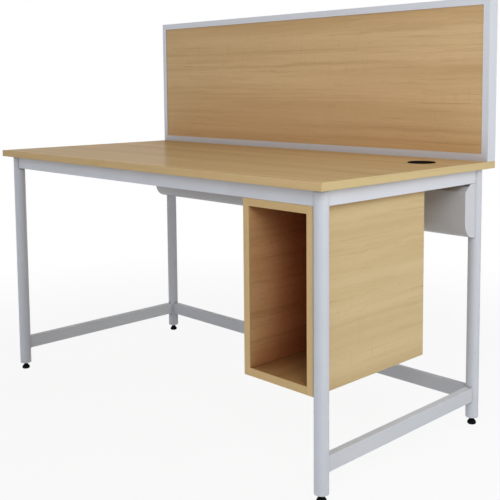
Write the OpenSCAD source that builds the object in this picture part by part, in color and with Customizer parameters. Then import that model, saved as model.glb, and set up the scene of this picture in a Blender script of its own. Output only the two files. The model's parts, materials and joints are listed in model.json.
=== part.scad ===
/* [Worktop] */
// Length of the worktop from end to end
top_l = 1800; // [1400:10:2400]
// Depth of the worktop from front to back
top_w = 900; // [750:10:1200]
// Height of the worktop's upper face above the floor
top_h = 940; // [820:5:1150]
// Thickness of the worktop board
top_t = 25; // [20:1:40]
// Thickness of the edge bands on the worktop and the box
band_t = 2; // [1:0.5:3]
// Radius of the softened corners on the edge bands
band_r = 0.8; // [0.3:0.1:1.4]

/* [Frame] */
// Outer diameter of the round leg tubes
leg_d = 45; // [38:0.5:54]
// Wall of the leg tubes
leg_wall = 2; // [1.5:0.1:3]
// Distance from a worktop end to the axis of its legs
leg_inset_x = 46; // [38:1:120]
// Distance from a long worktop edge to the axis of its legs
leg_inset_y = 49.5; // [41:0.5:60]
// Height of the rails and stretchers
rail_h = 50; // [40:1:60]
// Thickness of the rails and stretchers
rail_t = 25; // [20:0.5:30]
// Wall of the rails and stretchers
rail_wall = 2; // [1.5:0.1:3]
// Outer corner radius of the rails and stretchers
rail_r = 2; // [1:0.1:3]
// Height of the stretchers' lower faces above the floor
stretcher_z = 87; // [60:1:200]
// Thickness of the caps that close the legs' upper ends
leg_cap_t = 3; // [2:0.5:6]

/* [Feet] */
// Height of the legs' lower ends above the floor
foot_h = 27; // [20:1:34]
// Diameter of a foot pad
foot_d = 31; // [27:1:42]
// Diameter of a foot's threaded stem
stem_d = 10; // [8:0.5:12]
// Length of the stem above the pad
stem_l = 48; // [45:1:70]
// Height of the threaded insert in a leg's lower end
insert_h = 25; // [20:1:30]
// Wall of the pad's neck around the stem
foot_neck_wall = 1.5; // [1:0.1:4]

/* [Screen] */
// Height of the screen above the worktop
screen_h = 560; // [300:10:700]
// Depth of the screen's frame from front to back
screen_t = 49; // [41:0.5:58]
// Width of the frame's face around the panel
screen_face = 25; // [21:0.5:32]
// Wall of the frame's profile, its lip over the panel and the caps on its posts
screen_wall = 2; // [1.5:0.1:2.5]
// Depth of the closed chamber behind the panel's groove
chamber_t = 8; // [6.5:0.1:10]
// Thickness of each of the screen's two facing boards
facing_t = 12; // [8:0.5:16]
// Width of an upright batten between the facing boards
batten_w = 45; // [30:1:70]
// Number of upright battens
batten_count = 6; // [3:1:9]
// Length of a corner key inside its rail
key_l = 40; // [25:1:80]
// Thickness of a nut plate in the lower rail
nut_plate_t = 5; // [3:0.5:6]
// Length of a nut plate
nut_plate_l = 40; // [25:1:60]

/* [Computer box] */
// Width of the box
box_w = 290; // [200:5:360]
// Height of the box
box_h = 556; // [350:1:680]
// Thickness of the box's side, top and bottom boards
box_t = 25; // [20:1:30]
// Thickness of the box's back board
box_back_t = 18; // [14:1:25]
// Gap between the box and the front right leg
box_leg_gap = 2; // [1:0.5:12]
// Distance from the front rail's face back to the box's front edge
box_setback = 4; // [0:0.5:12]
// Gap in Y between the box's rear and the cable port's hole, for cables
box_port_gap = 56; // [30:1:120]
// Diameter of the dowels in the box's corners
dowel_d = 8; // [6:0.5:10]
// Length of a dowel
dowel_l = 35; // [28:1:45]
// Width of a hanger's flanges
hanger_w = 34; // [26:1:45]
// Thickness of a hanger's sheet
hanger_wall = 2; // [1.5:0.1:3]
// Distance from a hanger's ends to the front rail and to the box's rear
hanger_margin = 30; // [15:1:60]

/* [Cable tray] */
// Depth of the tray, from its front face to the fronts of the rear legs
tray_d = 59; // [48:1:80]
// Depth of the tray's floor below the rails
tray_drop = 189; // [140:1:240]
// Height of the sloping top's lower edge below the rails
tray_slope = 26.5; // [15:0.5:40]
// Width of the flat strip of the tray's floor between its bend and its lip
tray_flat = 3.2; // [2:0.1:20]
// Thickness of the tray's sheet
tray_wall = 1.5; // [1:0.1:2.5]
// Thickness of the tray's end plates
tray_end_t = 2; // [1.5:0.1:3]
// Height of the lip at the rear of the tray's floor
tray_lip = 25; // [15:1:40]

/* [Cable port] */
// Distance from the right end of the worktop to the port's axis
port_inset_x = 151; // [110:1:400]
// Distance from the rear edge of the worktop to the port's axis
port_inset_y = 223; // [180:1:300]
// Diameter of the hole in the worktop
port_d = 80; // [60:1:100]
// Wall of the port's liner
port_wall = 2.3; // [1.5:0.1:4]
// Width of the liner's flange outside the hole
port_flange_w = 7.5; // [5:0.5:14]
// Thickness of the liner's flange
port_flange_t = 2.5; // [1.5:0.1:4]
// Width and height of the ledge that the cap rests on
port_ledge = 2.5; // [1.5:0.1:4]
// Thickness of the cap's disc
cap_t = 3; // [2:0.1:5]
// Depth of the cap's skirt below its disc
cap_skirt = 12; // [8:0.5:16]
// Wall of the cap's skirt
cap_wall = 1.8; // [1.2:0.1:3]
// Width of the cable slot in the cap
slot_w = 24; // [14:1:32]
// Depth of the cable slot from the cap's rim
slot_d = 15; // [10:0.5:20]

/* [Fasteners] */
// Diameter of the wood screws
screw_d = 4.5; // [3.5:0.1:6]
// Depth of the wood screws in a board
screw_bite = 15; // [10:0.5:17]
// Diameter of the screen's machine screws
bolt_d = 6; // [5:0.5:8]
// Diameter of the tray's sheet screws
tray_screw_d = 4; // [3:0.1:5]
// Length of a sheet screw behind its head
tray_screw_l = 12; // [8:0.5:16]

/* [Hidden] */
$fn = 64;
// Clearance on each side of a fitted piece
fit = 0.1;
// Clearance on each side of a sliding or trapped piece
ease = 0.3;
// Radial clearance between a stem and its insert
thread_gap = 0.05;
// Overrun of a cut past the face that it opens
over = 1;
// Places of the worktop's screws along the front and rear rails, as shares of the rail's half length
front_screw_shares = [-0.7, -0.15, 0.45];
rear_screw_shares = [-0.72, -0.24, 0.24, 0.72];
// Places of the worktop's screws along the side rails
side_screw_shares = [-0.5, 0.45];
// Places of the screen's screws along the worktop's half length
screen_screw_shares = [-0.82, -0.41, 0, 0.41, 0.82];
// Places of the tray's screws along its half length
tray_screw_shares = [-0.9, -0.6, -0.3, 0, 0.3, 0.6, 0.9];
// Places of the hangers' axes across the box, and of their screws along them
hanger_shares = [0.22, 0.78];
hanger_screw_shares = [0.12, 0.5, 0.88];
// Places of the dowels along the box's depth and up its back
dowel_depth_shares = [0.15, 0.75];
dowel_height_shares = [0.25, 0.75];
// Share of a side board's thickness that a dowel enters
dowel_side_share = 0.52;
// Foot and top of the tray's flange, as shares of the rail's height
tray_flange_shares = [0.58, 0.9];
// Height of a foot pad, as a share of the height under its leg
foot_pad_share = 0.8;
// Profile of a foot pad, as shares of its height and of its radius beyond the neck
foot_height_shares = [0, 0.05, 0.15, 0.3, 0.42, 0.54, 0.66, 0.78, 0.9, 1];
foot_radius_shares = [0.74, 0.9, 1, 1, 0.9, 0.71, 0.46, 0.22, 0.06, 0];
// Share of the height under a leg at which its stem begins
stem_foot_share = 0.3;
// Screw heads, as shares of the shank's diameter
head_d_share = 2;
head_h_share = 0.6;
socket_share = 1.1;
socket_depth_share = 0.35;
tip_share = 0.5;
// Chamfer at a stem's upper end, as a share of its diameter
stem_chamfer_share = 0.125;
// Size of an access hole under a rail's screw, as a share of the screw's head
access_share = 1.3;
// Heights, depths and axes that several pieces share
under_z = top_h - top_t;
rail_z = under_z - rail_h;
leg_x = top_l / 2 - leg_inset_x;
leg_y = top_w / 2 - leg_inset_y;
leg_bore = leg_d - 2 * leg_wall;
plug_d = leg_bore - 2 * fit;
foot_neck_r = stem_d / 2 + foot_neck_wall;
band_arris = min(band_r, band_t / 2);
screen_y = top_w / 2 - screen_t;
groove_d = screen_face - 2 * screen_wall - chamber_t;
web_z = 2 * screen_wall + chamber_t;
chamber_w = screen_t - 2 * screen_wall;
facing_gap = chamber_w - 2 * facing_t - 2 * fit;
panel_l = top_l - 2 * web_z - 2 * fit;
panel_h = screen_h - 2 * web_z - fit;
bolt_y = (leg_y + rail_t / 2 + top_w / 2 - band_t) / 2;
bolt_l = top_t + screen_wall + chamber_t - ease;
port_x = top_l / 2 - port_inset_x;
port_y = top_w / 2 - port_inset_y;
box_x1 = leg_x - leg_d / 2 - box_leg_gap;
box_x0 = box_x1 - box_w;
box_y0 = box_setback - leg_y - rail_t / 2;
box_y1 = port_y - port_d / 2 - box_port_gap;
box_d = box_y1 - box_y0;
box_z0 = rail_z - box_h;
box_inner_w = box_w - 2 * box_t;
hanger_y0 = rail_t / 2 + hanger_margin - leg_y;
hanger_l = box_y1 - hanger_margin - hanger_y0;
rail_face_y = leg_y - rail_t / 2;
tray_y0 = leg_y - leg_d / 2 - tray_d;
tray_y1 = leg_y - leg_d / 2 - ease;
tray_r = tray_y1 - tray_wall - tray_flat - tray_y0;
tray_z0 = rail_z - tray_drop;
tray_slope_z = rail_z - tray_slope;
tray_flange_z = rail_z + tray_flange_shares[0] * rail_h;
tray_screw_z = rail_z + (tray_flange_shares[0] + tray_flange_shares[1]) * rail_h / 2;
tray_end_x = leg_x + rail_t / 2;
tray_half_l = tray_end_x - tray_end_t;
tray_top_half_l = leg_x - leg_d / 2 - over;
liner_r = port_d / 2 - fit;
throat_r = liner_r - port_wall;
ledge_r = throat_r - port_ledge;
liner_z0 = under_z + port_ledge;
cap_z = top_h + port_flange_t - cap_t - fit;

// Colours of the finishes
board_color = [0.76, 0.62, 0.42];
band_color = [0.80, 0.67, 0.45];
paint_color = [0.72, 0.73, 0.77];
alloy_color = [0.76, 0.77, 0.80];
zinc_color = [0.66, 0.67, 0.69];
black_color = [0.05, 0.05, 0.05];
batten_color = [0.80, 0.68, 0.50];

// Places of the worktop's screws, one in each drilled spot of the upper rails
function worktop_screw_places() = concat(
  [for (s = front_screw_shares) [s * leg_x, -leg_y]],
  [for (s = rear_screw_shares) [s * leg_x, leg_y]],
  [for (side = [-1, 1]) for (s = side_screw_shares) [side * leg_x, s * leg_y]]
);

// Places of the screen's screws and nut plates
function screen_screw_places() = [for (s = screen_screw_shares) [s * top_l / 2, bolt_y]];

// Distances of the tray's screws from its middle
function tray_screw_xs() = [for (s = tray_screw_shares) s * tray_top_half_l];

// Axes of the two hangers across the box
function hanger_xs() = [for (s = hanger_shares) box_x0 + s * box_w];

// Places of the hangers' screws, shared by the worktop and the box
function hanger_screw_places() = [
  for (x = hanger_xs()) for (s = hanger_screw_shares) [x, hanger_y0 + s * hanger_l]
];

// Places of the dowels that run across the box, at the middle of its left side's joint plane
function box_dowel_places() = concat(
  [for (z = [box_z0 + box_t / 2, rail_z - box_t / 2]) for (s = dowel_depth_shares) [box_y0 + s * box_d, z]],
  [for (s = dowel_height_shares) [box_y1 - box_back_t / 2, box_z0 + s * box_h]]
);

// Extrudes a section drawn in Y and Z along X
module along_x(length) {
  rotate([90, 0, 90]) linear_extrude(length) children();
}

// Extrudes a section drawn in X and Z along Y
module along_y(length) {
  translate([0, length, 0]) rotate([90, 0, 0]) linear_extrude(length) children();
}

// A rectangle with round corners, centred on its width and standing on its base
module rounded_section(w, h, r) {
  translate([-w / 2, r]) square([w, h - 2 * r]);
  translate([r - w / 2, 0]) square([w - 2 * r, h]);
  for (side = [-1, 1])
    for (y = [r, h - r])
      translate([side * (w / 2 - r), y]) circle(r = r);
}

// Section of the rectangular tube
module tube_section() {
  difference() {
    rounded_section(rail_t, rail_h, rail_r);
    translate([rail_wall - rail_t / 2, rail_wall])
      square([rail_t - 2 * rail_wall, rail_h - 2 * rail_wall]);
  }
}

// The space that the legs take, with the weld gap, for coping what meets them
module leg_envelopes() {
  for (sx = [-1, 1])
    for (sy = [-1, 1])
      translate([sx * leg_x, sy * leg_y, 0]) cylinder(d = leg_d + 2 * fit, h = top_h);
}

// Screw holes in the upper rails: a clearance hole above and an access hole below
module rail_drillings() {
  for (p = worktop_screw_places())
    translate([p[0], p[1], 0]) {
      translate([0, 0, under_z - rail_wall - over])
        cylinder(d = screw_d + 2 * fit, h = rail_wall + 2 * over);
      translate([0, 0, rail_z - over])
        cylinder(d = access_share * head_d_share * screw_d, h = rail_wall + 2 * over);
    }
}

// A tube along X between two legs
module tube_x(y, z) {
  color(paint_color)
    difference() {
      translate([-leg_x, y, z]) along_x(2 * leg_x) tube_section();
      leg_envelopes();
      if (z == rail_z) rail_drillings();
      if (z == rail_z && y > 0) tray_screw_holes();
    }
}

// A tube along Y between two legs
module tube_y(x, z) {
  color(paint_color)
    difference() {
      translate([x, -leg_y, z]) along_y(2 * leg_y) tube_section();
      leg_envelopes();
      if (z == rail_z) rail_drillings();
    }
}

// A round leg tube, open at both ends
module leg(sx, sy) {
  color(paint_color)
    translate([sx * leg_x, sy * leg_y, foot_h])
      difference() {
        cylinder(d = leg_d, h = under_z - foot_h);
        translate([0, 0, -over]) cylinder(d = leg_bore, h = under_z - foot_h + 2 * over);
      }
}

// A screw that points up: its head hangs below the origin and its shank stands above
module screw(d, length) {
  difference() {
    translate([0, 0, -head_h_share * d]) cylinder(d = head_d_share * d, h = head_h_share * d);
    translate([0, 0, -head_h_share * d - over])
      cylinder(d = socket_share * d, h = over + socket_depth_share * d, $fn = 6);
  }
  cylinder(d = d, h = length - tip_share * d);
  translate([0, 0, length - tip_share * d]) cylinder(d1 = d, d2 = d / 2, h = tip_share * d);
}

// A banding strip along X, its outer face at Y 0 and its body behind it
module band_strip(length, w) {
  along_x(length) {
    translate([band_arris, 0]) square([band_t - band_arris, w]);
    translate([0, band_arris]) square([band_t, w - 2 * band_arris]);
    for (z = [band_arris, w - band_arris])
      translate([band_arris, z]) circle(r = band_arris);
  }
}

module worktop() {
  color(board_color)
    difference() {
      translate([band_t - top_l / 2, band_t - top_w / 2, under_z])
        cube([top_l - 2 * band_t, top_w - 2 * band_t, top_t]);
      translate([port_x, port_y, under_z - over]) cylinder(d = port_d, h = top_t + 2 * over);
      for (p = concat(worktop_screw_places(), hanger_screw_places()))
        translate([p[0], p[1], under_z - over])
          cylinder(d = screw_d + 2 * fit, h = screw_bite + over + fit);
      for (p = screen_screw_places())
        translate([p[0], p[1], under_z - over]) cylinder(d = bolt_d + 2 * fit, h = top_t + 2 * over);
    }
}

module worktop_band_front() {
  color(band_color) translate([-top_l / 2, -top_w / 2, under_z]) band_strip(top_l, top_t);
}

module worktop_band_rear() {
  mirror([0, 1, 0]) worktop_band_front();
}

module worktop_band_left() {
  color(band_color)
    translate([-top_l / 2, top_w / 2 - band_t, under_z])
      rotate([0, 0, -90]) band_strip(top_w - 2 * band_t, top_t);
}

module worktop_band_right() {
  mirror([1, 0, 0]) worktop_band_left();
}

module worktop_screws() {
  color(zinc_color)
    for (p = worktop_screw_places())
      translate([p[0], p[1], under_z - rail_wall]) screw(screw_d, rail_wall + screw_bite);
}

module cable_port_liner() {
  color(black_color)
    translate([port_x, port_y, 0])
      rotate_extrude() {
        translate([throat_r, liner_z0]) square([port_wall, top_h - liner_z0]);
        translate([throat_r, top_h]) square([port_wall + port_flange_w - port_flange_t / 2, port_flange_t]);
        translate([throat_r, top_h])
          square([port_wall + port_flange_w, port_flange_t / 2]);
        translate([liner_r + port_flange_w - port_flange_t / 2, top_h + port_flange_t / 2])
          intersection() {
            circle(d = port_flange_t);
            square([port_flange_t, port_flange_t]);
          }
        translate([ledge_r, cap_z - port_ledge]) square([port_ledge + fit, port_ledge]);
      }
}

module cable_port_cap() {
  color(black_color)
    translate([port_x, port_y, cap_z])
      difference() {
        rotate_extrude() {
          square([throat_r - ease, cap_t]);
          translate([ledge_r - ease - cap_wall, -cap_skirt]) square([cap_wall, cap_skirt + cap_t / 2]);
        }
        translate([-slot_w / 2, throat_r - ease - slot_d, -cap_skirt - over])
          cube([slot_w, slot_d + over, cap_skirt + cap_t + 2 * over]);
      }
}

module leg_front_left() {
  leg(-1, -1);
}

module leg_front_right() {
  leg(1, -1);
}

module leg_rear_left() {
  leg(-1, 1);
}

module leg_rear_right() {
  leg(1, 1);
}

module leg_caps() {
  color(paint_color)
    for (sx = [-1, 1])
      for (sy = [-1, 1])
        translate([sx * leg_x, sy * leg_y, under_z - leg_cap_t]) cylinder(d = plug_d, h = leg_cap_t);
}

module foot_inserts() {
  color(zinc_color)
    for (sx = [-1, 1])
      for (sy = [-1, 1])
        translate([sx * leg_x, sy * leg_y, foot_h])
          difference() {
            cylinder(d = plug_d, h = insert_h);
            translate([0, 0, -over]) cylinder(d = stem_d + 2 * thread_gap, h = insert_h + 2 * over);
          }
}

// Outline of a foot pad: radius and height at each point from its base up
function foot_outline(h) = [
  for (i = [0:len(foot_height_shares) - 1])
    [foot_neck_r + foot_radius_shares[i] * (foot_d / 2 - foot_neck_r), foot_height_shares[i] * h]
];

// A moulded foot pad: a rounded base under a dome with a short neck, and a blind hole for its stem
module foot_pad(sx, sy) {
  pad_h = foot_pad_share * foot_h;
  color(black_color)
    translate([sx * leg_x, sy * leg_y, 0])
      difference() {
        rotate_extrude() polygon(concat([[0, 0]], foot_outline(pad_h), [[0, pad_h]]));
        translate([0, 0, stem_foot_share * foot_h]) cylinder(d = stem_d + 2 * thread_gap, h = foot_h);
      }
}

// A threaded stem, drawn at its outer diameter with a chamfered end
module foot_stem(sx, sy) {
  stem_z = stem_foot_share * foot_h;
  chamfer = stem_chamfer_share * stem_d;
  color(zinc_color)
    translate([sx * leg_x, sy * leg_y, 0]) {
      translate([0, 0, stem_z]) cylinder(d = stem_d, h = foot_h + stem_l - stem_z - chamfer);
      translate([0, 0, foot_h + stem_l - chamfer])
        cylinder(d1 = stem_d, d2 = stem_d - 2 * chamfer, h = chamfer);
    }
}

module foot_pad_front_left() {
  foot_pad(-1, -1);
}

module foot_pad_front_right() {
  foot_pad(1, -1);
}

module foot_pad_rear_left() {
  foot_pad(-1, 1);
}

module foot_pad_rear_right() {
  foot_pad(1, 1);
}

module foot_stem_front_left() {
  foot_stem(-1, -1);
}

module foot_stem_front_right() {
  foot_stem(1, -1);
}

module foot_stem_rear_left() {
  foot_stem(-1, 1);
}

module foot_stem_rear_right() {
  foot_stem(1, 1);
}

module rail_front() {
  tube_x(-leg_y, rail_z);
}

module rail_rear() {
  tube_x(leg_y, rail_z);
}

module rail_left() {
  tube_y(-leg_x, rail_z);
}

module rail_right() {
  tube_y(leg_x, rail_z);
}

module stretcher_left() {
  tube_y(-leg_x, stretcher_z);
}

module stretcher_right() {
  tube_y(leg_x, stretcher_z);
}

module stretcher_rear() {
  tube_x(leg_y, stretcher_z);
}

// Section of the screen's profile: a closed chamber at its outer face and a groove at its inner face
module screen_section() {
  difference() {
    square([screen_face, screen_t]);
    translate([screen_wall, screen_wall]) square([chamber_t, chamber_w]);
    translate([web_z, screen_wall]) square([groove_d + over, chamber_w]);
  }
}

// The left post, with windows in its web where the corner keys pass
module screen_post_left() {
  color(alloy_color)
    translate([-top_l / 2, screen_y, top_h])
      difference() {
        linear_extrude(screen_h - screen_wall) screen_section();
        for (z = [screen_wall, screen_h - screen_wall - chamber_t])
          translate([screen_wall, screen_wall, z]) cube([screen_face, chamber_w, chamber_t]);
      }
}

module screen_post_right() {
  mirror([1, 0, 0]) screen_post_left();
}

// A horizontal member between the posts, drawn as the lower one
module screen_rail() {
  translate([screen_face - top_l / 2, screen_y, 0])
    rotate([90, 0, 90]) linear_extrude(top_l - 2 * screen_face)
      rotate([0, 0, 90]) mirror([0, 1, 0]) screen_section();
}

module screen_rail_bottom() {
  color(alloy_color)
    difference() {
      translate([0, 0, top_h]) screen_rail();
      for (p = screen_screw_places())
        translate([p[0], p[1], top_h - over]) cylinder(d = bolt_d + 2 * fit, h = screen_wall + 2 * over);
    }
}

module screen_rail_top() {
  color(alloy_color) translate([0, 0, top_h + screen_h]) mirror([0, 0, 1]) screen_rail();
}

module screen_post_caps() {
  color(alloy_color)
    for (side = [0, 1])
      mirror([side, 0, 0])
        translate([-top_l / 2, screen_y, top_h + screen_h - screen_wall])
          cube([screen_face, screen_t, screen_wall]);
}

// A facing board, let into the groove on all four sides
module screen_board(y) {
  color(board_color)
    translate([-panel_l / 2, y, top_h + web_z]) cube([panel_l, facing_t, panel_h]);
}

module screen_board_front() {
  screen_board(screen_y + screen_wall + fit);
}

module screen_board_back() {
  screen_board(top_w / 2 - screen_wall - fit - facing_t);
}

module screen_battens() {
  step = (panel_l - batten_w) / (batten_count - 1);
  color(batten_color)
    for (i = [0:batten_count - 1])
      translate([i * step - panel_l / 2, screen_y + screen_wall + fit + facing_t, top_h + web_z])
        cube([batten_w, facing_gap, panel_h]);
}

module screen_corner_keys() {
  color(zinc_color)
    for (side = [0, 1])
      for (z = [top_h + screen_wall, top_h + screen_h - screen_wall - chamber_t])
        mirror([side, 0, 0])
          translate([screen_wall + ease - top_l / 2, screen_y + screen_wall + ease, z + ease])
            cube([screen_face - screen_wall - ease + key_l, chamber_w - 2 * ease, chamber_t - 2 * ease]);
}

module screen_nut_plates() {
  color(zinc_color)
    for (p = screen_screw_places())
      difference() {
        translate([p[0] - nut_plate_l / 2, screen_y + screen_wall + ease, top_h + screen_wall])
          cube([nut_plate_l, chamber_w - 2 * ease, nut_plate_t]);
        translate([p[0], p[1], top_h]) cylinder(d = bolt_d + 2 * fit, h = screen_wall + nut_plate_t + over);
      }
}

module screen_screws() {
  color(zinc_color)
    for (p = screen_screw_places())
      translate([p[0], p[1], under_z]) screw(bolt_d, bolt_l);
}

// The dowels' holes, which run from inside a side board into the boards between the sides
module dowel_holes(gap) {
  for (side = [0, 1])
    translate([box_x0 + side * box_w, 0, 0])
      mirror([side, 0, 0])
        for (p = box_dowel_places())
          translate([box_t * (1 - dowel_side_share) - gap, p[0], p[1]])
            rotate([0, 90, 0]) cylinder(d = dowel_d + 2 * gap, h = dowel_l + 2 * gap);
}

module box_side_left() {
  color(board_color)
    difference() {
      translate([box_x0, box_y0 + band_t, box_z0]) cube([box_t, box_d - band_t, box_h]);
      dowel_holes(fit);
    }
}

module box_side_right() {
  color(board_color)
    difference() {
      translate([box_x1 - box_t, box_y0 + band_t, box_z0]) cube([box_t, box_d - band_t, box_h]);
      dowel_holes(fit);
    }
}

module box_top() {
  color(board_color)
    difference() {
      translate([box_x0 + box_t, box_y0 + band_t, rail_z - box_t])
        cube([box_inner_w, box_d - band_t, box_t]);
      dowel_holes(fit);
      for (p = hanger_screw_places())
        translate([p[0], p[1], rail_z - screw_bite - fit])
          cylinder(d = screw_d + 2 * fit, h = screw_bite + fit + over);
    }
}

module box_bottom() {
  color(board_color)
    difference() {
      translate([box_x0 + box_t, box_y0 + band_t, box_z0]) cube([box_inner_w, box_d - band_t, box_t]);
      dowel_holes(fit);
    }
}

module box_back() {
  color(board_color)
    difference() {
      translate([box_x0 + box_t, box_y1 - box_back_t, box_z0 + box_t])
        cube([box_inner_w, box_back_t, box_h - 2 * box_t]);
      dowel_holes(fit);
    }
}

module box_band_left() {
  color(band_color)
    translate([box_x0 + box_t, box_y0, box_z0]) rotate([0, -90, 0]) band_strip(box_h, box_t);
}

module box_band_right() {
  color(band_color)
    translate([box_x1, box_y0, box_z0]) rotate([0, -90, 0]) band_strip(box_h, box_t);
}

module box_band_top() {
  color(band_color)
    translate([box_x0 + box_t, box_y0, rail_z - box_t]) band_strip(box_inner_w, box_t);
}

module box_band_bottom() {
  color(band_color) translate([box_x0 + box_t, box_y0, box_z0]) band_strip(box_inner_w, box_t);
}

module box_dowels() {
  color(batten_color) dowel_holes(0);
}

// A channel that hangs the box under the worktop, open towards the middle of the box and shut
// at its rear end
module box_hanger(index) {
  color(zinc_color)
    difference() {
      translate([hanger_xs()[index], hanger_y0, rail_z])
        mirror([index, 0, 0]) {
          along_y(hanger_l) {
            translate([-hanger_w / 2, 0]) square([hanger_wall, rail_h]);
            for (z = [0, rail_h - hanger_wall])
              translate([-hanger_w / 2, z]) square([hanger_w, hanger_wall]);
          }
          translate([-hanger_w / 2, hanger_l - hanger_wall, 0]) cube([hanger_w, hanger_wall, rail_h]);
        }
      for (p = hanger_screw_places())
        translate([p[0], p[1], rail_z - over]) cylinder(d = screw_d + 2 * fit, h = rail_h + 2 * over);
    }
}

module box_hanger_left() {
  box_hanger(0);
}

module box_hanger_right() {
  box_hanger(1);
}

module hanger_screws_worktop() {
  color(zinc_color)
    for (p = hanger_screw_places())
      translate([p[0], p[1], under_z - hanger_wall]) screw(screw_d, hanger_wall + screw_bite);
}

module hanger_screws_box() {
  color(zinc_color)
    for (p = hanger_screw_places())
      translate([p[0], p[1], rail_z + hanger_wall])
        mirror([0, 0, 1]) screw(screw_d, hanger_wall + screw_bite);
}

// Height of the tray's sloping top at a depth in Y, and the depth at a height
function tray_slope_at(y) =
  tray_slope_z + (y - tray_y0) * (tray_flange_z - tray_slope_z) / (rail_face_y - tray_y0);
function tray_slope_y(z) =
  tray_y0 + (z - tray_slope_z) * (rail_face_y - tray_y0) / (tray_flange_z - tray_slope_z);

// The rounded corner between the tray's front and its floor, filled to a radius
module tray_corner(r) {
  translate([tray_y0 + tray_r, tray_z0 + tray_r])
    intersection() {
      circle(r = r);
      translate([-r, -r]) square([r, r]);
    }
}

// The tray's outline, filled: slope, front, round corner, floor and the height of its lip
module tray_outline() {
  polygon([
    [tray_y0, tray_slope_z],
    [tray_y0, tray_z0 + tray_r],
    [tray_y0 + tray_r, tray_z0 + tray_r],
    [tray_y0 + tray_r, tray_z0],
    [tray_y1, tray_z0],
    [tray_y1, tray_z0 + tray_lip],
    [rail_face_y, tray_z0 + tray_lip],
    [rail_face_y, tray_flange_z]
  ]);
  tray_corner(tray_r);
}

// The space inside the tray's sheet, open to the rear above the lip
module tray_hollow() {
  y0 = tray_y0 + tray_wall;
  y2 = rail_face_y + over;
  slope_v = tray_wall / cos(atan2(tray_flange_z - tray_slope_z, rail_face_y - tray_y0));
  polygon([
    [y0, tray_slope_at(y0) - slope_v],
    [y0, tray_z0 + tray_r],
    [tray_y0 + tray_r, tray_z0 + tray_r],
    [tray_y0 + tray_r, tray_z0 + tray_wall],
    [tray_y1 - tray_wall, tray_z0 + tray_wall],
    [tray_y1 - tray_wall, tray_z0 + tray_lip],
    [y2, tray_z0 + tray_lip],
    [y2, tray_slope_at(y2) - slope_v]
  ]);
  tray_corner(tray_r - tray_wall);
}

// Section of the tray's sheet, with the flange that lies on the rear rail
module tray_section() {
  flange_z1 = rail_z + tray_flange_shares[1] * rail_h;
  difference() {
    tray_outline();
    tray_hollow();
  }
  translate([rail_face_y - tray_wall, tray_slope_at(rail_face_y - tray_wall)])
    square([tray_wall, flange_z1 - tray_slope_at(rail_face_y - tray_wall)]);
}

// Holes through the tray's flange and the rear rail's front wall
module tray_screw_holes() {
  for (x = tray_screw_xs())
    translate([x, rail_face_y - tray_wall - over, tray_screw_z])
      rotate([-90, 0, 0]) cylinder(d = tray_screw_d + 2 * fit, h = tray_wall + rail_wall + 2 * over);
}

module cable_tray() {
  color(paint_color)
    difference() {
      translate([-tray_half_l, 0, 0]) along_x(2 * tray_half_l) tray_section();
      for (side = [0, 1])
        mirror([side, 0, 0])
          translate([tray_top_half_l, tray_y0 - over, rail_z - ease])
            cube([tray_half_l, rail_face_y - tray_y0 + 2 * over, rail_h]);
      tray_screw_holes();
    }
}

// An end plate: the tray's outline below the rails, filled and coped to its leg
module tray_end() {
  plate_z = rail_z - ease;
  color(paint_color)
    difference() {
      translate([tray_half_l, 0, 0])
        along_x(tray_end_t) {
          polygon([
            [tray_y0, tray_slope_z],
            [tray_y0, tray_z0 + tray_r],
            [tray_y0 + tray_r, tray_z0 + tray_r],
            [tray_y0 + tray_r, tray_z0],
            [leg_y, tray_z0],
            [leg_y, plate_z],
            [tray_slope_y(plate_z), plate_z]
          ]);
          tray_corner(tray_r);
        }
      leg_envelopes();
    }
}

module cable_tray_end_right() {
  tray_end();
}

module cable_tray_end_left() {
  mirror([1, 0, 0]) tray_end();
}

module cable_tray_screws() {
  color(zinc_color)
    for (x = tray_screw_xs())
      translate([x, rail_face_y - tray_wall, tray_screw_z])
        rotate([-90, 0, 0]) screw(tray_screw_d, tray_screw_l);
}

worktop();
worktop_band_front();
worktop_band_rear();
worktop_band_left();
worktop_band_right();
worktop_screws();
cable_port_liner();
cable_port_cap();
leg_front_left();
leg_front_right();
leg_rear_left();
leg_rear_right();
leg_caps();
foot_inserts();
rail_front();
rail_rear();
rail_left();
rail_right();
stretcher_left();
stretcher_right();
stretcher_rear();
foot_pad_front_left();
foot_pad_front_right();
foot_pad_rear_left();
foot_pad_rear_right();
foot_stem_front_left();
foot_stem_front_right();
foot_stem_rear_left();
foot_stem_rear_right();
screen_post_left();
screen_post_right();
screen_rail_top();
screen_rail_bottom();
screen_post_caps();
screen_board_front();
screen_board_back();
screen_battens();
screen_corner_keys();
screen_nut_plates();
screen_screws();
box_side_left();
box_side_right();
box_top();
box_bottom();
box_back();
box_band_left();
box_band_right();
box_band_top();
box_band_bottom();
box_dowels();
box_hanger_left();
box_hanger_right();
hanger_screws_worktop();
hanger_screws_box();
cable_tray();
cable_tray_end_left();
cable_tray_end_right();
cable_tray_screws();
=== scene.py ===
"""Looks of the library catalog station: materials, floor, world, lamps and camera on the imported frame."""
import json
import math

import bpy
from mathutils import Matrix, Vector

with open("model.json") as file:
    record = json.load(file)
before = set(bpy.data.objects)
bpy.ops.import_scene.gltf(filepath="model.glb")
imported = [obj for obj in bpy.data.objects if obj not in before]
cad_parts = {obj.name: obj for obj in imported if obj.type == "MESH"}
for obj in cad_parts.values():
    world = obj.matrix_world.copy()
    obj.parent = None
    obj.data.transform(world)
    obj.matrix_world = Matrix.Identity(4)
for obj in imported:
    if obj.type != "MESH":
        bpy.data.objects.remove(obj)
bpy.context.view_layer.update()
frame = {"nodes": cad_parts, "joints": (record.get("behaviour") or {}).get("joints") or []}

# Colours

WHITE = (1.0, 1.0, 1.0)


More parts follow.
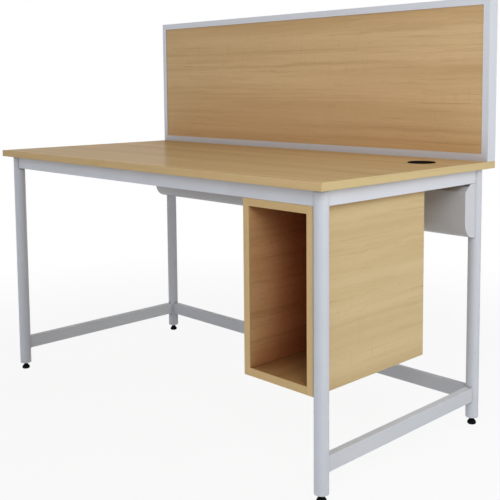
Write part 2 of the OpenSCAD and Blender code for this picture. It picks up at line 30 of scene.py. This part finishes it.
def srgb(red, green, blue):
    """A colour picked on a screen, 0 to 255, as the linear values that Blender takes."""

    def linear(v):
        v /= 255
        return v / 12.92 if v <= 0.04045 else ((v + 0.055) / 1.055) ** 2.4

    return tuple(linear(v) for v in (red, green, blue))


def tinted(tone, *shares):
    """tone times one share, or times one each for red, green and blue, and at most full."""
    if len(shares) == 1:
        shares *= len(tone)
    return tuple(min(1.0, v * share) for v, share in zip(tone, shares))


# Nodes

# Nearly all values of a noise lie between these two
NOISE_REACH = (0.2, 0.8)
# Cosines between a face's normal and its rounded normal where an edge begins and where it is full
EDGE_COSINES = (0.995, 0.86)
BEVEL_SAMPLES = 4
HOLLOW_SAMPLES = 6
FILM_IOR = 1.5


class Graph:
    """The nodes of a material or of the world, with short calls that add to them."""

    def __init__(self, owner, output_kind):
        owner.use_nodes = True
        self.tree = owner.node_tree
        self.tree.nodes.clear()
        self.output = self.add(output_kind)

    def put(self, socket, value):
        """Links value to socket where it is a socket, and otherwise sets it, a colour with full alpha."""
        if isinstance(value, bpy.types.NodeSocket):
            self.tree.links.new(value, socket)
        elif socket.type == "RGBA":
            socket.default_value = (*value, 1.0)
        else:
            socket.default_value = value

    def add(self, kind, inputs=None, **settings):
        """A new node with these inputs, by name or by number, and these settings."""
        made = self.tree.nodes.new("ShaderNode" + kind)
        for name, value in settings.items():
            setattr(made, name, value)
        for key, value in (inputs or {}).items():
            self.put(made.inputs[key], value)
        return made

    def show(self, shader):
        """Puts shader into the output's surface."""
        self.put(self.output.inputs["Surface"], shader)

    def place(self):
        """The point in its object's own frame, in metres."""
        return self.add("TexCoord").outputs["Object"]

    def mapped(self, vector, scale=(1, 1, 1), turn=(0, 0, 0), shift=(0, 0, 0)):
        """vector times scale, then turned, then shifted."""
        inputs = {"Vector": vector, "Scale": scale, "Rotation": turn, "Location": shift}
        return self.add("Mapping", inputs).outputs[0]

    def noise(self, vector, scale=1.0, detail=3.0, rough=0.5):
        inputs = {"Vector": vector, "Scale": scale, "Detail": detail, "Roughness": rough}
        return self.add("TexNoise", inputs).outputs["Fac"]

    def grain(self, vector, along, across, detail, rough=0.5, shift=(0, 0, 0)):
        """A noise with along features per metre in X, and across features per metre in Y and Z."""
        stretched = self.mapped(vector, (along, across, across), shift=shift)
        return self.noise(stretched, detail=detail, rough=rough)

    def swayed(self, vector, value, reach):
        """vector moved across X by value times reach."""
        inputs = {0: self.grey(value), 1: (0.0, reach, reach), 2: vector}
        return self.add("VectorMath", inputs, operation="MULTIPLY_ADD").outputs[0]

    def spread(self, value, low, high, to_low=0.0, to_high=1.0, smooth=False):
        """value from low..high to to_low..to_high, held at the ends."""
        inputs = dict(enumerate((value, low, high, to_low, to_high)))
        kind = "SMOOTHSTEP" if smooth else "LINEAR"
        return self.add("MapRange", inputs, interpolation_type=kind).outputs[0]

    def math(self, operation, a, b):
        return self.add("Math", {0: a, 1: b}, operation=operation).outputs[0]

    def mix(self, factor, a, b, mode="MIX"):
        """Mixes two colours. The node's colours are its inputs 6 and 7, and its mixed colour is output 2."""
        made = self.add("Mix", data_type="RGBA", blend_type=mode)
        for number, value in ((0, factor), (6, a), (7, b)):
            self.put(made.inputs[number], value)
        return made.outputs[2]

    def cover(self, colour, over, value, start, full, most):
        """Covers colour with over: not at all where value is at start, and by most where it is at full."""
        return self.mix(self.spread(value, start, full, 0.0, most), colour, over)

    def rub(self, colour, bare, edges, most):
        """Shows bare on the edges, by most where their mask is 1."""
        return self.mix(self.math("MULTIPLY", edges, most), colour, bare)

    def grey(self, value):
        """value as a colour, which holds it three times."""
        return self.add("CombineColor", {0: value, 1: value, 2: value}).outputs[0]

    def bump(self, height, normal, strength, depth):
        inputs = {"Height": height, "Normal": normal, "Strength": strength, "Distance": depth}
        return self.add("Bump", inputs).outputs[0]

    def soft_edges(self, radius):
        """A normal that rounds the edges, and a mask that is 1 on them."""
        rounded = self.add("Bevel", {"Radius": radius}, samples=BEVEL_SAMPLES).outputs[0]
        straight = self.add("NewGeometry").outputs["Normal"]
        cosine = self.add("VectorMath", {0: rounded, 1: straight}, operation="DOT_PRODUCT")
        return rounded, self.spread(cosine.outputs["Value"], *EDGE_COSINES)

    def shade(self, colour, distance, low, highs, deepest):
        """Paints shade into colour in corners, creases and recesses: darker by deepest where the openness is
        low or less, and not at all where it is over highs, for each of red, green and blue."""
        openness = self.add("AmbientOcclusion", {"Distance": distance}, samples=HOLLOW_SAMPLES).outputs["AO"]
        channels = [self.spread(openness, low, high, least) for high, least in zip(highs, deepest)]
        factor = self.add("CombineColor", dict(enumerate(channels))).outputs[0]
        return self.mix(1.0, colour, factor, "MULTIPLY")

    def seen_rays(self):
        """1 for the rays that show the background: camera, glossy and transmission rays."""
        rays = self.add("LightPath").outputs
        seen = self.math("MAXIMUM", rays["Is Camera Ray"], rays["Is Glossy Ray"])
        return self.math("MAXIMUM", seen, rays["Is Transmission Ray"])


class Surface(Graph):
    """A material with a Principled shader."""

    def __init__(self, name):
        self.material = bpy.data.materials.new(name)
        super().__init__(self.material, "OutputMaterial")
        self.shader = self.add("BsdfPrincipled")
        self.show(self.shader.outputs[0])

    def set(self, **values):
        """Sets the shader's own inputs, by their names with underscores for spaces."""
        for name, value in values.items():
            self.put(self.shader.inputs[name.replace("_", " ")], value)

    def varnish(self, weight, rough):
        """A thin satin film in place of the body's own gloss, which keeps flat glances dull."""
        self.set(Specular_IOR_Level=0.0, Coat_Weight=weight, Coat_Roughness=rough, Coat_IOR=FILM_IOR)


# Materials

# How a texture is turned so that its X runs along each axis
TURNS = {"x": (0, 0, 0), "y": (0, 0, math.radians(-90)), "z": (0, math.radians(90), 0)}
WOOD_ROUGH = 0.42
WOOD_FILM_ROUGH = 0.24
# How far the bands wander across the grain, in metres
WOOD_WANDER = 0.032
# Half the reach of the noise over which light bands turn deep, at a contrast of 1
BAND_HALF = 0.20
# Below this contrast the bands stay as soft as they are at it
LEAST_BAND_CONTRAST = 0.8


def wood(name, tone, axis, shift, contrast=1.0, wave=0.007, edge=0.0012, hollow_shade=None, coat=0.16):
    """Printed beech decor under satin melamine: soft bands that wander, long thin streaks, fine pores, short
    flecks and faint ripples across the grain, with painted shade in corners and recesses where its settings
    are given. tone is the colour in plain light, axis is the grain's, wave is how far it curls in metres, and
    the painted shade's settings are what shade() takes."""
    g = Surface(name)
    lie = g.mapped(g.place(), turn=TURNS[axis], shift=shift)
    wander = g.grain(lie, along=1.3, across=2.4, detail=3, rough=0.55)
    curl = g.grain(lie, along=9, across=13, detail=2)
    flow = g.swayed(g.swayed(lie, wander, WOOD_WANDER), curl, wave)
    bands = g.grain(flow, along=0.4, across=14, detail=3)
    veins = g.grain(flow, along=0.7, across=46, detail=4, rough=0.6)
    streaks = g.grain(flow, along=1.8, across=140, detail=4, rough=0.62)
    pores = g.grain(flow, along=9, across=520, detail=2, rough=0.6)
    flecks = g.grain(lie, along=70, across=640, detail=1)
    ripple = g.grain(lie, along=50, across=11, detail=2)
    patches = g.grain(lie, along=2.2, across=3.4, detail=1, shift=(7.0, 0, 0))

    light = tinted(tone, 1.06, 1.07, 1.09)
    deep = tinted(tone, 0.92, 0.885, 0.845)
    dark = tinted(tone, 0.71, 0.63, 0.55)
    half = BAND_HALF / max(contrast, LEAST_BAND_CONTRAST)
    colour = g.mix(g.spread(bands, 0.5 - half, 0.5 + half), light, deep)
    # Each layer's colour and noise, the noise's value where it starts and where it is full, and its strength
    layers = (
        (dark, veins, 0.52, 0.72, 0.30),
        (light, veins, 0.44, 0.26, 0.30),
        (dark, streaks, 0.58, 0.74, 0.42),
        (dark, pores, 0.52, 0.75, 0.22),
        (dark, flecks, 0.66, 0.76, 0.30),
    )
    for over, value, start, full, strength in layers:
        colour = g.cover(colour, over, value, start, full, strength * contrast)
    ticks = g.spread(ripple, 0.57, 0.70, to_high=0.24)
    ticks = g.math("MULTIPLY", ticks, g.spread(patches, 0.48, 0.62))
    colour = g.mix(ticks, colour, tinted(tone, 0.86, 0.80, 0.72))
    # Painted shade in corners and recesses
    if hollow_shade:
        colour = g.shade(colour, **hollow_shade)
    normal, edges = g.soft_edges(radius=edge)
    g.set(Base_Color=g.rub(colour, tinted(tone, 1.16), edges, most=0.35), Metallic=0.0)

    g.varnish(coat, WOOD_FILM_ROUGH)
    wear = g.spread(pores, *NOISE_REACH, to_low=WOOD_ROUGH - 0.04, to_high=WOOD_ROUGH + 0.05)
    wear = g.math("ADD", wear, g.spread(patches, 0.3, 0.7, to_low=-0.03, to_high=0.03))
    g.set(Roughness=g.math("ADD", wear, g.math("MULTIPLY", edges, -0.08)))
    relief = g.math("ADD", g.math("MULTIPLY", pores, 0.6), g.math("MULTIPLY", streaks, 0.8))
    g.set(Normal=g.bump(relief, normal, strength=0.22, depth=0.0002))
    return g.material


# Painted shade in corners, creases and recesses, as shade() takes it, with distances in metres
# Painted shade that darkens the screen board towards the worktop, and the worktop towards the screen
FRONT_BOARD_SHADE = dict(distance=0.30, low=0.50, highs=(0.98, 0.98, 0.98), deepest=(0.83, 0.75, 0.69))
TOP_BOARD_SHADE = dict(distance=0.30, low=0.50, highs=(0.98, 0.98, 0.98), deepest=(0.88, 0.84, 0.79))
# Painted shade inside the box, redder as it deepens, for the dim light on its walls, floor and back
INSIDE_SHADE = dict(distance=0.45, low=0.05, highs=(0.42, 0.60, 0.72), deepest=(0.42, 0.10, 0.02))
LEFT_WALL_SHADE = dict(distance=0.45, low=0.05, highs=(0.44, 0.60, 0.72), deepest=(0.36, 0.08, 0.02))
BACK_WALL_SHADE = dict(distance=0.45, low=0.05, highs=(0.45, 0.50, 0.55), deepest=(0.55, 0.36, 0.26))
INNER_FLOOR_SHADE = dict(distance=0.45, low=0.12, highs=(0.95, 1.0, 1.0), deepest=(0.2, 0.04, 0.01))
# Painted shade on the screen's frame near the boards, tinted warm as a painted bounce of light from the wood
BESIDE_METAL_SHADE = dict(distance=0.12, low=0.45, highs=(0.95, 0.95, 0.95), deepest=(0.63, 0.57, 0.53))
# Painted shade in the seams between parts and in the creases under the worktop; the second is fainter
SEAM_SHADE = dict(distance=0.010, low=0.76, highs=(0.96, 0.96, 0.96), deepest=(0.30, 0.30, 0.33))
FAINT_SEAM_SHADE = dict(distance=0.010, low=0.60, highs=(0.96, 0.96, 0.96), deepest=(0.66, 0.65, 0.64))


def paint(name, tone, rough=0.44, gloss=0.40, edge=0.0008, seam_shade=FAINT_SEAM_SHADE):
    """Fine-textured powder coat: orange peel, a slight cloudiness, sparse pale flakes, worn lighter on the
    edges, with painted shade in its seams and creases."""
    g = Surface(name)
    place = g.place()
    peel = g.noise(place, scale=620, detail=3, rough=0.55)
    flakes = g.noise(place, scale=2600, detail=1)
    clouds = g.noise(place, scale=5, detail=3)
    runs = g.noise(g.mapped(place, (9, 9, 1.2)), detail=3)
    scuffs = g.noise(place, scale=38, detail=4)
    colour = g.mix(g.spread(clouds, 0.3, 0.7), tinted(tone, 0.965), tinted(tone, 1.02))
    colour = g.cover(colour, tinted(tone, 1.18), flakes, start=0.62, full=0.80, most=0.35)
    colour = g.cover(colour, tinted(tone, 0.80), runs, start=0.58, full=0.80, most=0.10)
    # Painted shade in seams and creases
    colour = g.shade(colour, **seam_shade)
    normal, edges = g.soft_edges(radius=edge)
    worn = g.math("MULTIPLY", edges, g.spread(scuffs, 0.42, 0.66, to_low=0.10, to_high=0.50))
    g.set(Base_Color=g.mix(worn, colour, tinted(tone, 1.15)), Metallic=0.0)
    g.set(IOR=1.45, Specular_IOR_Level=gloss)
    dull = g.spread(peel, *NOISE_REACH, to_low=rough - 0.05, to_high=rough + 0.05)
    g.set(Roughness=g.math("ADD", dull, g.math("MULTIPLY", worn, -0.15)))
    g.set(Normal=g.bump(peel, normal, strength=0.20, depth=0.00012))
    return g.material


ALLOY = srgb(210, 214, 222)
ALLOY_ROUGH = 0.40
# Scales of the die lines along an extrusion, in features per metre along it and across it
LINES_ALONG = 3
LINES_ACROSS = 900


def anodised(name, axis):
    """Matt anodised extrusion: die lines along its length, a faint satin mottle, and painted shade near other
    parts.
    """
    g = Surface(name)
    place = g.place()
    squeeze = [LINES_ALONG if letter == axis else LINES_ACROSS for letter in "xyz"]
    lines = g.noise(g.mapped(place, squeeze), detail=3, rough=0.6)
    clouds = g.noise(place, scale=7, detail=3)
    colour = g.mix(g.spread(lines, 0.25, 0.75), tinted(ALLOY, 0.96), tinted(ALLOY, 1.03))
    colour = g.cover(colour, tinted(ALLOY, 0.93), clouds, start=0.4, full=0.75, most=0.20)
    # Painted shade near neighbouring parts, tinted warm as a painted bounce of light from the wood
    colour = g.shade(colour, **BESIDE_METAL_SHADE)
    normal, edges = g.soft_edges(radius=0.0006)
    g.set(Base_Color=g.rub(colour, tinted(ALLOY, 1.18), edges, most=0.4), Metallic=0.15, IOR=1.5)
    g.set(Roughness=g.spread(lines, *NOISE_REACH, to_low=ALLOY_ROUGH - 0.06, to_high=ALLOY_ROUGH + 0.08))
    g.set(Normal=g.bump(lines, normal, strength=0.15, depth=0.00008))
    return g.material


def zinc(name):
    """Bright zinc plating with its fine crystals, a yellow cast in places and dull rubbed edges."""
    g = Surface(name)
    place = g.place()
    crystals = g.noise(place, scale=900, detail=3)
    clouds = g.noise(place, scale=60, detail=3)
    colour = g.mix(g.spread(clouds, 0.35, 0.7), (0.62, 0.64, 0.66), (0.72, 0.70, 0.62))
    colour = g.cover(colour, (0.45, 0.46, 0.48), crystals, start=0.55, full=0.8, most=0.4)
    normal, edges = g.soft_edges(radius=0.0004)
    g.set(Base_Color=g.rub(colour, (0.80, 0.80, 0.79), edges, most=0.5), Metallic=1.0)
    g.set(Roughness=g.spread(crystals, *NOISE_REACH, to_low=0.28, to_high=0.42))
    g.set(Normal=g.bump(crystals, normal, strength=0.15, depth=0.0001))
    return g.material


def black_plastic(name):
    """Moulded black plastic with a spark-eroded texture, paler where shoes and fingers rub it."""
    g = Surface(name)
    place = g.place()
    texture = g.noise(place, scale=1500, detail=2, rough=0.6)
    clouds = g.noise(place, scale=40, detail=3)
    colour = g.mix(g.spread(clouds, 0.35, 0.7), srgb(13, 13, 14), srgb(19, 19, 20))
    normal, edges = g.soft_edges(radius=0.0006)
    g.set(Base_Color=g.rub(colour, srgb(58, 58, 60), edges, most=0.5))
    g.varnish(weight=0.06, rough=0.38)
    g.set(Roughness=g.spread(texture, *NOISE_REACH, to_low=0.46, to_high=0.62))
    g.set(Normal=g.bump(texture, normal, strength=0.30, depth=0.0001))
    return g.material


def softwood(name, axis, shift):
    """Planed spruce: broad early and late wood lines, raw and matt."""
    g = Surface(name)
    lie = g.mapped(g.place(), turn=TURNS[axis], shift=shift)
    rings = g.grain(lie, along=1.2, across=130, detail=3, rough=0.6)
    fibre = g.grain(lie, along=30, across=1400, detail=2)
    colour = g.mix(g.spread(rings, 0.45, 0.68), srgb(222, 196, 150), srgb(188, 150, 100))
    colour = g.cover(colour, srgb(160, 125, 82), fibre, start=0.5, full=0.8, most=0.3)
    normal, edges = g.soft_edges(radius=0.0005)
    g.set(Base_Color=g.rub(colour, srgb(228, 206, 166), edges, most=0.3), IOR=1.4)
    g.set(Roughness=g.spread(fibre, *NOISE_REACH, to_low=0.62, to_high=0.78))
    g.set(Normal=g.bump(fibre, normal, strength=0.3, depth=0.0002))
    return g.material


# Finishes

# The tones that boards, edge bands and painted tubes have in plain light, apart from the lit and shaded
# copies marked below
TOP = srgb(222, 189, 138)
PANEL = srgb(219, 187, 140)
BOX = srgb(214, 191, 147)
# A lighter, redder copy of the box's tone for its left side: painted light on its lit inner face
BOX_LEFT_LIT = srgb(226, 194, 149)
# A darker, redder copy of the box's tone for its bottom: painted shade on its inner face
BOX_FLOOR_SHADED = srgb(213, 178, 118)
BAND = srgb(220, 190, 139)
BAND_END = srgb(212, 191, 143)
SILVER = srgb(211, 215, 223)
# The edge bands' decor is calmer than the boards', and their corners are sharper
BAND_LOOKS = dict(contrast=0.6, edge=0.0009)
# The stretchers' paint is duller than the legs', because they are seen at flat glances from above
LOW_LOOKS = dict(rough=0.55, gloss=0.08)

# The three numbers after the axis shift the decor, in metres, so that no two of these share their grain
top_wood = wood("worktop_wood", TOP, "x", (0.3, 0.1, 0.2), contrast=0.85, hollow_shade=TOP_BOARD_SHADE, coat=0.10)
panel_wood = wood("screen_wood", PANEL, "x", (2.1, 1.4, 0.6), contrast=1.5, hollow_shade=FRONT_BOARD_SHADE)
side_wood = wood("box_side_wood", BOX, "y", (1.1, 0.5, 0.9), wave=0.014, hollow_shade=INSIDE_SHADE)
left_wood = wood("box_left_wood", BOX_LEFT_LIT, "y", (4.4, 3.5, 2.9), contrast=1.5, wave=0.014, hollow_shade=LEFT_WALL_SHADE)
cross_wood = wood("box_cross_wood", BOX, "y", (3.7, 2.5, 1.9), hollow_shade=INSIDE_SHADE)
floor_wood = wood("box_bottom_wood", BOX_FLOOR_SHADED, "y", (2.7, 0.5, 3.9), hollow_shade=INNER_FLOOR_SHADE)
back_wood = wood("box_back_wood", BOX, "x", (5.2, 3.1, 0.4), hollow_shade=BACK_WALL_SHADE)
band_x = wood("band_wood_x", BAND, "x", (4.0, 0.7, 3.3), **BAND_LOOKS)
band_y = wood("band_wood_y", BAND_END, "y", (0.8, 4.2, 1.3), **BAND_LOOKS)
band_z = wood("band_wood_z", BAND, "z", (2.8, 1.2, 4.3), **BAND_LOOKS)
frame_paint = paint("frame_paint", SILVER, seam_shade=SEAM_SHADE)
# A lighter copy of the frame paint on the rails: painted light that offsets the shade under the worktop
rail_lit_paint = paint("rail_lit_paint", srgb(219, 223, 231))
corner_paint = paint("corner_paint", SILVER, gloss=0.30)
# A darker copy of the frame paint on the rear left leg: painted shade where less light reaches at the rear
rear_shaded_paint = paint("rear_shaded_paint", srgb(199, 202, 209), gloss=0.30)
low_paint = paint("low_paint", srgb(215, 219, 224), **LOW_LOOKS)
# A darker copy of the stretchers' paint on the rear stretcher: painted shade where less light reaches
low_rear_shaded_paint = paint("low_rear_shaded_paint", srgb(200, 203, 209), **LOW_LOOKS)
tray_paint = paint("tray_paint", srgb(203, 204, 207), edge=0.0005, seam_shade=SEAM_SHADE)
tray_end_paint = paint("tray_end_paint", srgb(212, 213, 218), edge=0.0005)
metal_x = anodised("screen_metal_x", "x")
metal_z = anodised("screen_metal_z", "z")
plated = zinc("zinc_plate")
moulded = black_plastic("black_moulded")
batten_wood = softwood("batten_wood", "z", (0.4, 0.9, 1.5))
dowel_wood = softwood("dowel_wood", "x", (1.4, 0.2, 2.5))

# What each node is made of, by how its name begins; the longest beginning that fits counts
FINISHES = {
    "worktop": top_wood,
    "worktop_band_front": band_x,
    "worktop_band_rear": band_x,
    "worktop_band_left": band_y,
    "worktop_band_right": band_y,
    "worktop_screws": plated,
    "cable_port": moulded,
    "leg": frame_paint,
    "leg_rear_left": rear_shaded_paint,
    "leg_rear_right": corner_paint,
    "rail": rail_lit_paint,
    "stretcher": low_paint,
    "stretcher_rear": low_rear_shaded_paint,
    "foot_pad": moulded,
    "foot_stem": plated,
    "foot_inserts": plated,
    "screen_post": metal_z,
    "screen_post_caps": metal_x,
    "screen_rail": metal_x,
    "screen_board": panel_wood,
    "screen_battens": batten_wood,
    "screen_corner_keys": plated,
    "screen_nut_plates": plated,
    "screen_screws": plated,
    "box_side": side_wood,
    "box_side_left": left_wood,
    "box_top": cross_wood,
    "box_bottom": floor_wood,
    "box_back": back_wood,
    "box_band_left": band_z,
    "box_band_right": band_z,
    "box_band_top": band_x,
    "box_band_bottom": band_x,
    "box_dowels": dowel_wood,
    "box_hanger": plated,
    "hanger_screws": plated,
    "cable_tray": tray_paint,
    "cable_tray_end": tray_end_paint,
    "cable_tray_screws": plated,
}
for node_name, node in frame["nodes"].items():
    beginning = max((b for b in FINISHES if node_name.startswith(b)), key=len)
    for material_slot in node.material_slots:
        material_slot.material = FINISHES[beginning]

# Floor and world

# The floor lies just under what the feet reach when they are screwed out, so that their travel shows
FOOT_TRAVEL = max(joint["range_m"][1] for joint in frame["joints"] if joint["name"].startswith("foot_"))
FLOOR_GAP = 0.0005
FLOOR_REACH = 40.0
FLOOR_TONES = ((0.80, 0.80, 0.80), (0.84, 0.84, 0.84))
# Distances from the middle between which the floor fades to the background's white
FLOOR_FADE = (1.2, 3.2)
# How much of the lit floor shows near the object; the rest is the background's white
FLOOR_SHARE = 0.10
# Strength of the even light that the world gives to the object
AMBIENT = 0.05


def make_floor():
    """A white floor that keeps the object's shadow and fades to the background's white away from it."""
    mesh = bpy.data.meshes.new("floor")
    corners = [(x * FLOOR_REACH, y * FLOOR_REACH, 0) for x, y in ((-1, -1), (1, -1), (1, 1), (-1, 1))]
    mesh.from_pydata(corners, [], [(0, 1, 2, 3)])
    floor = bpy.data.objects.new("floor", mesh)
    floor.location.z = -FOOT_TRAVEL - FLOOR_GAP
    bpy.context.scene.collection.objects.link(floor)
    material = bpy.data.materials.new("floor_white")
    g = Graph(material, "OutputMaterial")
    specks = g.noise(g.place(), scale=3, detail=4)
    lit = g.add("BsdfDiffuse", {"Color": g.mix(g.spread(specks, 0.3, 0.7), *FLOOR_TONES)})
    white = g.add("Emission", {"Color": WHITE, "Strength": 1.0})
    away = g.add("VectorMath", {0: g.place()}, operation="LENGTH").outputs["Value"]
    far = g.spread(away, *FLOOR_FADE, to_low=1.0 - FLOOR_SHARE, smooth=True)
    shown = g.math("MULTIPLY", far, g.seen_rays())
    g.show(g.add("MixShader", {0: shown, 1: lit.outputs[0], 2: white.outputs[0]}).outputs[0])
    mesh.materials.append(material)


def make_world():
    """White where it is seen, and a dimmer even light on the object."""
    world = bpy.data.worlds.new("world")
    bpy.context.scene.world = world
    g = Graph(world, "OutputWorld")
    lit = g.add("Background", {"Color": WHITE, "Strength": AMBIENT})
    white = g.add("Background", {"Color": WHITE, "Strength": 1.0})
    shown = g.seen_rays()
    g.show(g.add("MixShader", {0: shown, 1: lit.outputs[0], 2: white.outputs[0]}).outputs[0])


make_floor()
make_world()

# Lamps

COOL = (0.97, 1.0, 1.06)


def add_lamp(name, kind, place, aim, strength, colour):
    """A lamp at place that faces aim."""
    lamp = bpy.data.lights.new(name, kind)
    lamp.energy = strength
    lamp.color = colour
    holder = bpy.data.objects.new(name, lamp)
    bpy.context.scene.collection.objects.link(holder)
    holder.location = place
    holder.rotation_mode = "QUATERNION"
    holder.rotation_quaternion = (Vector(place) - Vector(aim)).to_track_quat("Z", "Y")
    return lamp


def add_sun(name, place, strength, degrees, colour=WHITE):
    """A sun that shines from the side of place, and looks as wide as degrees."""
    lamp = add_lamp(name, "SUN", place, (0, 0, 0), strength, colour)
    lamp.angle = math.radians(degrees)


def add_panel(name, place, aim, strength, side):
    """A square white panel of light at place that faces aim, with its side in metres."""
    lamp = add_lamp(name, "AREA", place, aim, strength, WHITE)
    lamp.shape = "SQUARE"
    lamp.size = side


add_sun("lamp_right_rear", (6.0, 2.2, 1.0), strength=0.26, degrees=40)
add_sun("lamp_front", (0.0, -6.0, 1.5), strength=0.87, degrees=60, colour=COOL)
add_sun("lamp_front_left", (-5.0, -5.0, 2.5), strength=0.32, degrees=60)
add_sun("lamp_rear_left", (-4.0, 5.0, 1.4), strength=1.25, degrees=60)
add_sun("lamp_above", (0.3, -0.6, 6.0), strength=0.27, degrees=80)
add_panel("panel_right", (3.6, 0.6, 1.9), (0.85, 0.2, 1.0), strength=38.0, side=2.0)
add_panel("panel_right_front", (2.6, -1.8, 2.3), (0.3, 0.2, 1.0), strength=27.5, side=1.5)

# Camera

# Solved from the photograph's straight edges. The vertical shift is half of the solved one, and the pitch
# stands in for the rest.
CAMERA_PLACE = (2.4325, -2.1552, 1.2026)
YAW, PITCH, ROLL = (math.radians(degrees) for degrees in (44.468, -5.329, -0.28))
SENSOR_WIDTH = 36.0
LENS = 61.0423
SHIFT_X = -0.0689
SHIFT_Y = -0.17
CLIP_START = 0.05
CLIP_END = 200.0


def make_camera():
    """The photograph's view. Yaw turns left from +Y, pitch is up and roll is clockwise."""
    data = bpy.data.cameras.new("camera")
    data.sensor_width = SENSOR_WIDTH
    data.lens = LENS
    data.shift_x = SHIFT_X
    data.shift_y = SHIFT_Y
    data.clip_start = CLIP_START
    data.clip_end = CLIP_END
    camera = bpy.data.objects.new("camera", data)
    bpy.context.scene.collection.objects.link(camera)
    level = Vector((-math.sin(YAW), math.cos(YAW), 0.0))
    side = Vector((math.cos(YAW), math.sin(YAW), 0.0))
    ahead = level * math.cos(PITCH) + Vector((0, 0, math.sin(PITCH)))
    up = Vector((0, 0, math.cos(PITCH))) - level * math.sin(PITCH)
    right = side * math.cos(ROLL) + up * math.sin(ROLL)
    top = up * math.cos(ROLL) - side * math.sin(ROLL)
    turn = Matrix((right, top, -ahead)).transposed().to_4x4()
    camera.matrix_world = Matrix.Translation(CAMERA_PLACE) @ turn
    bpy.context.scene.camera = camera


make_camera()
bpy.context.scene.view_settings.view_transform = "Standard"
